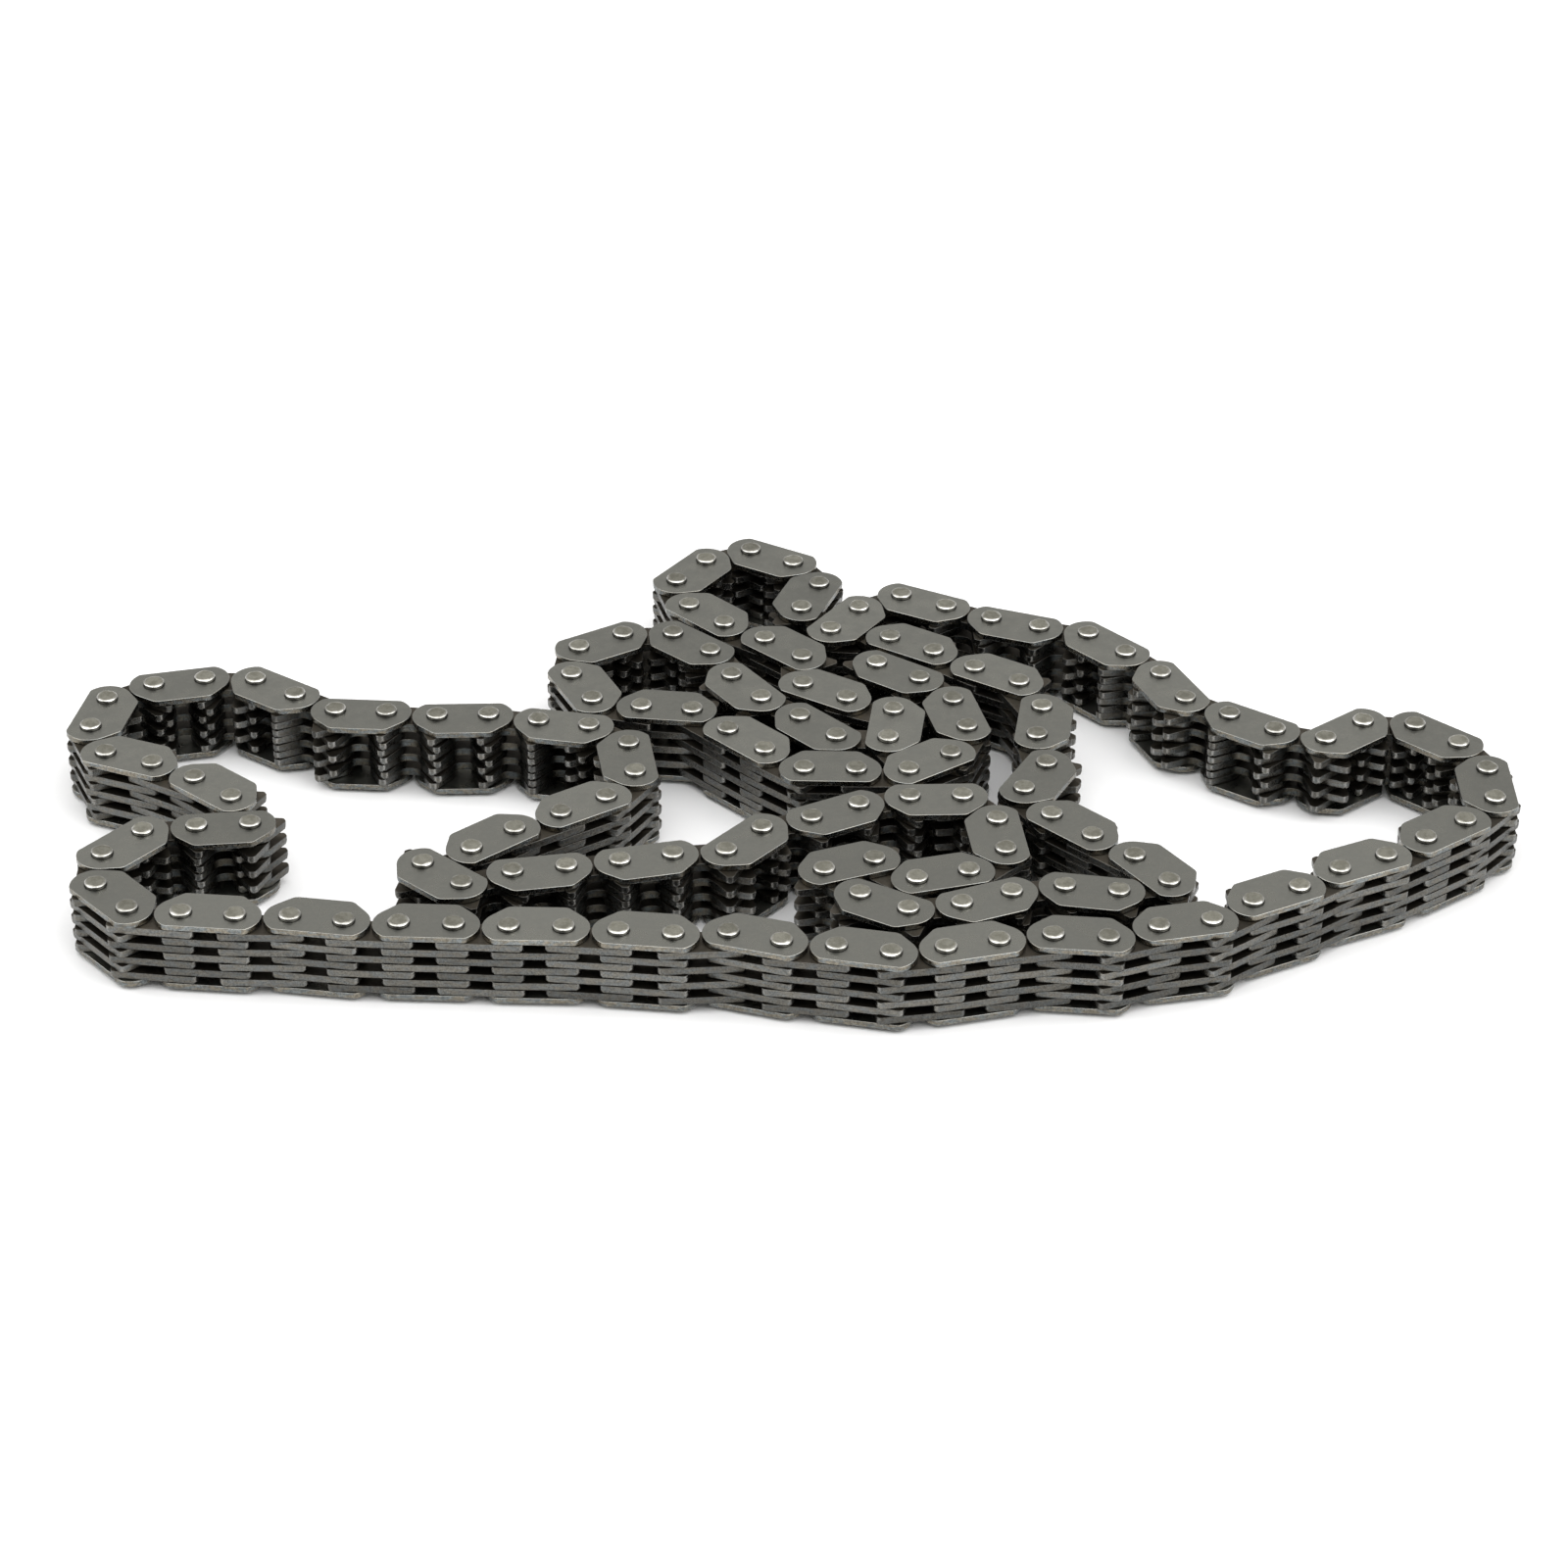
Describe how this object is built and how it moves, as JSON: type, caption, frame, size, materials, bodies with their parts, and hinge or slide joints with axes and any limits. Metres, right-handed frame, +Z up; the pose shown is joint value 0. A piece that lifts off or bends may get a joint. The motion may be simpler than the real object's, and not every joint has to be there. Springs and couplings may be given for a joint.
{
  "type": "silent timing chain",
  "caption": "Endless silent (inverted-tooth) timing chain of riveted link plates, lying on its side in a loose folded loop.",
  "frame": {"origin": "middle of the loop's box in plan, at the lower ends of the pins", "axes": "+X along the long way of the lay, +Y across it away from the near run, +Z up along the pins"},
  "size_m": [0.177, 0.0956, 0.0101],
  "materials": {
    "guide_steel": "dark satin, heat treated",
    "tooth_steel": "dark satin with a blanked, striated edge",
    "pin_steel": "ground and polished"
  },
  "bodies": {
    "loop": {"loop_top_guide_plates": "guide_steel", "loop_bottom_guide_plates": "guide_steel", "loop_rivet_pins": "pin_steel", "loop_guide_link_tooth_plates": "tooth_steel", "loop_inner_link_tooth_plates": "tooth_steel"},
    "front_inner_link_1": {"front_inner_link_1_tooth_plates": "tooth_steel"},
    "front_guide_link_1": {"front_guide_link_1_guide_plates": "guide_steel", "front_guide_link_1_rivet_pins": "pin_steel", "front_guide_link_1_tooth_plates": "tooth_steel"},
    "front_inner_link_2": {"front_inner_link_2_tooth_plates": "tooth_steel"},
    "front_guide_link_2": {"front_guide_link_2_guide_plates": "guide_steel", "front_guide_link_2_rivet_pins": "pin_steel", "front_guide_link_2_tooth_plates": "tooth_steel"},
    "front_inner_link_3": {"front_inner_link_3_tooth_plates": "tooth_steel"},
    "front_guide_link_3": {"front_guide_link_3_guide_plates": "guide_steel", "front_guide_link_3_rivet_pins": "pin_steel", "front_guide_link_3_tooth_plates": "tooth_steel"},
    "front_inner_link_4": {"front_inner_link_4_tooth_plates": "tooth_steel"},
    "front_guide_link_4": {"front_guide_link_4_guide_plates": "guide_steel", "front_guide_link_4_rivet_pins": "pin_steel", "front_guide_link_4_tooth_plates": "tooth_steel"},
    "front_inner_link_5": {"front_inner_link_5_tooth_plates": "tooth_steel"},
    "front_guide_link_5": {"front_guide_link_5_guide_plates": "guide_steel", "front_guide_link_5_rivet_pins": "pin_steel", "front_guide_link_5_tooth_plates": "tooth_steel"},
    "front_inner_link_6": {"front_inner_link_6_tooth_plates": "tooth_steel"},
    "front_guide_link_6": {"front_guide_link_6_guide_plates": "guide_steel", "front_guide_link_6_rivet_pins": "pin_steel", "front_guide_link_6_tooth_plates": "tooth_steel"},
    "front_inner_link_7": {"front_inner_link_7_tooth_plates": "tooth_steel"},
    "front_guide_link_7": {"front_guide_link_7_guide_plates": "guide_steel", "front_guide_link_7_rivet_pins": "pin_steel", "front_guide_link_7_tooth_plates": "tooth_steel"},
    "corner_inner_link_1": {"corner_inner_link_1_tooth_plates": "tooth_steel"},
    "corner_guide_link_1": {"corner_guide_link_1_guide_plates": "guide_steel", "corner_guide_link_1_rivet_pins": "pin_steel", "corner_guide_link_1_tooth_plates": "tooth_steel"},
    "corner_inner_link_2": {"corner_inner_link_2_tooth_plates": "tooth_steel"},
    "corner_guide_link_2": {"corner_guide_link_2_guide_plates": "guide_steel", "corner_guide_link_2_rivet_pins": "pin_steel", "corner_guide_link_2_tooth_plates": "tooth_steel"},
    "corner_inner_link_3": {"corner_inner_link_3_tooth_plates": "tooth_steel"},
    "corner_guide_link_3": {"corner_guide_link_3_guide_plates": "guide_steel", "corner_guide_link_3_rivet_pins": "pin_steel", "corner_guide_link_3_tooth_plates": "tooth_steel"},
    "corner_inner_link_4": {"corner_inner_link_4_tooth_plates": "tooth_steel"},
    "corner_guide_link_4": {"corner_guide_link_4_guide_plates": "guide_steel", "corner_guide_link_4_rivet_pins": "pin_steel", "corner_guide_link_4_tooth_plates": "tooth_steel"},
    "corner_inner_link_5": {"corner_inner_link_5_tooth_plates": "tooth_steel"},
    "corner_guide_link_5": {"corner_guide_link_5_guide_plates": "guide_steel", "corner_guide_link_5_rivet_pins": "pin_steel", "corner_guide_link_5_tooth_plates": "tooth_steel"},
    "corner_inner_link_6": {"corner_inner_link_6_tooth_plates": "tooth_steel"},
    "corner_guide_link_6": {"corner_guide_link_6_guide_plates": "guide_steel", "corner_guide_link_6_rivet_pins": "pin_steel", "corner_guide_link_6_tooth_plates": "tooth_steel"},
    "corner_inner_link_7": {"corner_inner_link_7_tooth_plates": "tooth_steel"}
  },
  "joints": [
    {"name": "front_pivot_1", "type": "hinge", "parent": "loop", "child": "front_inner_link_1", "pos_m": [-0.02538, -0.04025, 0.005], "axis": [0, 0, 1], "range_deg": [-38, 0]},
    {"name": "front_pivot_2", "type": "hinge", "parent": "front_inner_link_1", "child": "front_guide_link_1", "pos_m": [-0.01905, -0.0408, 0.005], "axis": [0, 0, -1], "range_deg": [0, 38]},
    {"name": "front_pivot_3", "type": "hinge", "parent": "front_guide_link_1", "child": "front_inner_link_2", "pos_m": [-0.01274, -0.04147, 0.005], "axis": [0, 0, 1], "range_deg": [-38, 0]},
    {"name": "front_pivot_4", "type": "hinge", "parent": "front_inner_link_2", "child": "front_guide_link_2", "pos_m": [-0.0064, -0.04103, 0.005], "axis": [0, 0, -1], "range_deg": [0, 38]},
    {"name": "front_pivot_5", "type": "hinge", "parent": "front_guide_link_2", "child": "front_inner_link_3", "pos_m": [-0.0003, -0.04278, 0.005], "axis": [0, 0, 1], "range_deg": [-38, 0]},
    {"name": "front_pivot_6", "type": "hinge", "parent": "front_inner_link_3", "child": "front_guide_link_3", "pos_m": [0.00599, -0.04366, 0.005], "axis": [0, 0, -1], "range_deg": [0, 38]},
    {"name": "front_pivot_7", "type": "hinge", "parent": "front_guide_link_3", "child": "front_inner_link_4", "pos_m": [0.01222, -0.04487, 0.005], "axis": [0, 0, 1], "range_deg": [-38, 0]},
    {"name": "front_pivot_8", "type": "hinge", "parent": "front_inner_link_4", "child": "front_guide_link_4", "pos_m": [0.01849, -0.04388, 0.005], "axis": [0, 0, -1], "range_deg": [0, 38]},
    {"name": "front_pivot_9", "type": "hinge", "parent": "front_guide_link_4", "child": "front_inner_link_5", "pos_m": [0.02465, -0.04234, 0.005], "axis": [0, 0, 1], "range_deg": [-38, 0]},
    {"name": "front_pivot_10", "type": "hinge", "parent": "front_inner_link_5", "child": "front_guide_link_5", "pos_m": [0.03091, -0.04124, 0.005], "axis": [0, 0, -1], "range_deg": [0, 38]},
    {"name": "front_pivot_11", "type": "hinge", "parent": "front_guide_link_5", "child": "front_inner_link_6", "pos_m": [0.03723, -0.04179, 0.005], "axis": [0, 0, 1], "range_deg": [-38, 0]},
    {"name": "front_pivot_12", "type": "hinge", "parent": "front_inner_link_6", "child": "front_guide_link_6", "pos_m": [0.04316, -0.03952, 0.005], "axis": [0, 0, -1], "range_deg": [0, 38]},
    {"name": "front_pivot_13", "type": "hinge", "parent": "front_guide_link_6", "child": "front_inner_link_7", "pos_m": [0.04937, -0.0382, 0.005], "axis": [0, 0, 1], "range_deg": [-38, 25]},
    {"name": "front_pivot_14", "type": "hinge", "parent": "front_inner_link_7", "child": "front_guide_link_7", "pos_m": [0.05445, -0.03438, 0.005], "axis": [0, 0, -1], "range_deg": [-60, 38]},
    {"name": "corner_pivot_1", "type": "hinge", "parent": "loop", "child": "corner_inner_link_1", "pos_m": [0.04973, 0.00923, 0.005], "axis": [0, 0, -1], "range_deg": [-38, 0]},
    {"name": "corner_pivot_2", "type": "hinge", "parent": "corner_inner_link_1", "child": "corner_guide_link_1", "pos_m": [0.05493, 0.00558, 0.005], "axis": [0, 0, 1], "range_deg": [0, 38]},
    {"name": "corner_pivot_3", "type": "hinge", "parent": "corner_guide_link_1", "child": "corner_inner_link_2", "pos_m": [0.06025, 0.00212, 0.005], "axis": [0, 0, -1], "range_deg": [-38, 0]},
    {"name": "corner_pivot_4", "type": "hinge", "parent": "corner_inner_link_2", "child": "corner_guide_link_2", "pos_m": [0.06629, 0.00016, 0.005], "axis": [0, 0, 1], "range_deg": [0, 38]},
    {"name": "corner_pivot_5", "type": "hinge", "parent": "corner_guide_link_2", "child": "corner_inner_link_3", "pos_m": [0.0713, 0.00407, 0.005], "axis": [0, 0, -1], "range_deg": [-38, 0]},
    {"name": "corner_pivot_6", "type": "hinge", "parent": "corner_inner_link_3", "child": "corner_guide_link_3", "pos_m": [0.07761, 0.00341, 0.005], "axis": [0, 0, 1], "range_deg": [0, 38]},
    {"name": "corner_pivot_7", "type": "hinge", "parent": "corner_guide_link_3", "child": "corner_inner_link_4", "pos_m": [0.08248, -0.00067, 0.005], "axis": [0, 0, -1], "range_deg": [-38, 0]},
    {"name": "corner_pivot_8", "type": "hinge", "parent": "corner_inner_link_4", "child": "corner_guide_link_4", "pos_m": [0.08526, -0.00638, 0.005], "axis": [0, 0, 1], "range_deg": [-10, 38]},
    {"name": "corner_pivot_9", "type": "hinge", "parent": "corner_guide_link_4", "child": "corner_inner_link_5", "pos_m": [0.08537, -0.01273, 0.005], "axis": [0, 0, -1], "range_deg": [-38, 10]},
    {"name": "corner_pivot_10", "type": "hinge", "parent": "corner_inner_link_5", "child": "corner_guide_link_5", "pos_m": [0.0812, -0.01752, 0.005], "axis": [0, 0, 1], "range_deg": [-20, 38]},
    {"name": "corner_pivot_11", "type": "hinge", "parent": "corner_guide_link_5", "child": "corner_inner_link_6", "pos_m": [0.07607, -0.02125, 0.005], "axis": [0, 0, -1], "range_deg": [-38, 40]},
    {"name": "corner_pivot_12", "type": "hinge", "parent": "corner_inner_link_6", "child": "corner_guide_link_6", "pos_m": [0.07093, -0.02499, 0.005], "axis": [0, 0, 1], "range_deg": [-40, 38]},
    {"name": "corner_pivot_13", "type": "hinge", "parent": "corner_guide_link_6", "child": "corner_inner_link_7", "pos_m": [0.06517, -0.02767, 0.005], "axis": [0, 0, -1], "range_deg": [-38, 60]}
  ]
}
